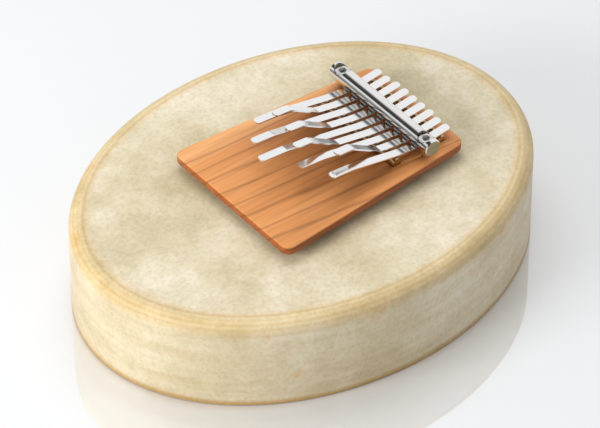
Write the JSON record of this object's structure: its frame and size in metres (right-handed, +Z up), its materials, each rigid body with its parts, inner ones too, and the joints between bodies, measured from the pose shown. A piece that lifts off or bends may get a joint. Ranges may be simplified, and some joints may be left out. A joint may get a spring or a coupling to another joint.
{
  "type": "kalimba",
  "caption": "Kalimba with spring-steel tines clamped on a tapered wooden board, standing on an oval hide-covered frame drum that is open below.",
  "frame": {"origin": "middle of the drum's underside", "axes": "+X along the tines towards their tails, +Z up from the surface that the drum stands on"},
  "size_m": [0.2696, 0.2062, 0.0892],
  "materials": {
    "hide": "natural mottled hide, satin",
    "frame_wood": "bent beech, satin",
    "cherry": "oiled cherry, satin",
    "polished_steel": "polished",
    "spring_steel": "polished spring steel",
    "brass": "satin brass"
  },
  "bodies": {
    "drum": {"frame_ring": "frame_wood", "drum_skin": "hide", "kalimba_board": "cherry", "front_cleat": "frame_wood", "rear_cleat": "frame_wood", "front_bridge": "brass", "rear_bridge": "brass", "pressure_bar": "polished_steel", "far_clamp_screw": "polished_steel", "near_clamp_screw": "polished_steel", "far_threaded_insert": "brass", "near_threaded_insert": "brass"},
    "tine_1_body": {"tine_1": "spring_steel"},
    "tine_2_body": {"tine_2": "spring_steel"},
    "tine_3_body": {"tine_3": "spring_steel"},
    "tine_4_body": {"tine_4": "spring_steel"},
    "tine_5_body": {"tine_5": "spring_steel"},
    "tine_6_body": {"tine_6": "spring_steel"},
    "tine_7_body": {"tine_7": "spring_steel"},
    "tine_8_body": {"tine_8": "spring_steel"},
    "tine_9_body": {"tine_9": "spring_steel"}
  },
  "joints": [
    {"name": "pluck_1", "type": "hinge", "parent": "drum", "child": "tine_1_body", "pos_m": [0.0548, 0.0288, 0.06916], "axis": [0, -1, 0], "range_deg": [-1.5, 1.5], "stiffness_Nm_per_rad": 0.5},
    {"name": "pluck_2", "type": "hinge", "parent": "drum", "child": "tine_2_body", "pos_m": [0.0548, 0.0216, 0.06916], "axis": [0, -1, 0], "range_deg": [-1.5, 1.5], "stiffness_Nm_per_rad": 0.5},
    {"name": "pluck_3", "type": "hinge", "parent": "drum", "child": "tine_3_body", "pos_m": [0.0548, 0.0144, 0.06916], "axis": [0, -1, 0], "range_deg": [-1.5, 1.5], "stiffness_Nm_per_rad": 0.5},
    {"name": "pluck_4", "type": "hinge", "parent": "drum", "child": "tine_4_body", "pos_m": [0.0548, 0.0072, 0.06916], "axis": [0, -1, 0], "range_deg": [-1.5, 1.5], "stiffness_Nm_per_rad": 0.5},
    {"name": "pluck_5", "type": "hinge", "parent": "drum", "child": "tine_5_body", "pos_m": [0.0548, 0, 0.06916], "axis": [0, -1, 0], "range_deg": [-1.5, 1.5], "stiffness_Nm_per_rad": 0.5},
    {"name": "pluck_6", "type": "hinge", "parent": "drum", "child": "tine_6_body", "pos_m": [0.0548, -0.0072, 0.06916], "axis": [0, -1, 0], "range_deg": [-1.5, 1.5], "stiffness_Nm_per_rad": 0.5},
    {"name": "pluck_7", "type": "hinge", "parent": "drum", "child": "tine_7_body", "pos_m": [0.0548, -0.0144, 0.06916], "axis": [0, -1, 0], "range_deg": [-1.5, 1.5], "stiffness_Nm_per_rad": 0.5},
    {"name": "pluck_8", "type": "hinge", "parent": "drum", "child": "tine_8_body", "pos_m": [0.0548, -0.0216, 0.06916], "axis": [0, -1, 0], "range_deg": [-1.5, 1.5], "stiffness_Nm_per_rad": 0.5},
    {"name": "pluck_9", "type": "hinge", "parent": "drum", "child": "tine_9_body", "pos_m": [0.0548, -0.0288, 0.06916], "axis": [0, -1, 0], "range_deg": [-1.5, 1.5], "stiffness_Nm_per_rad": 0.5}
  ]
}
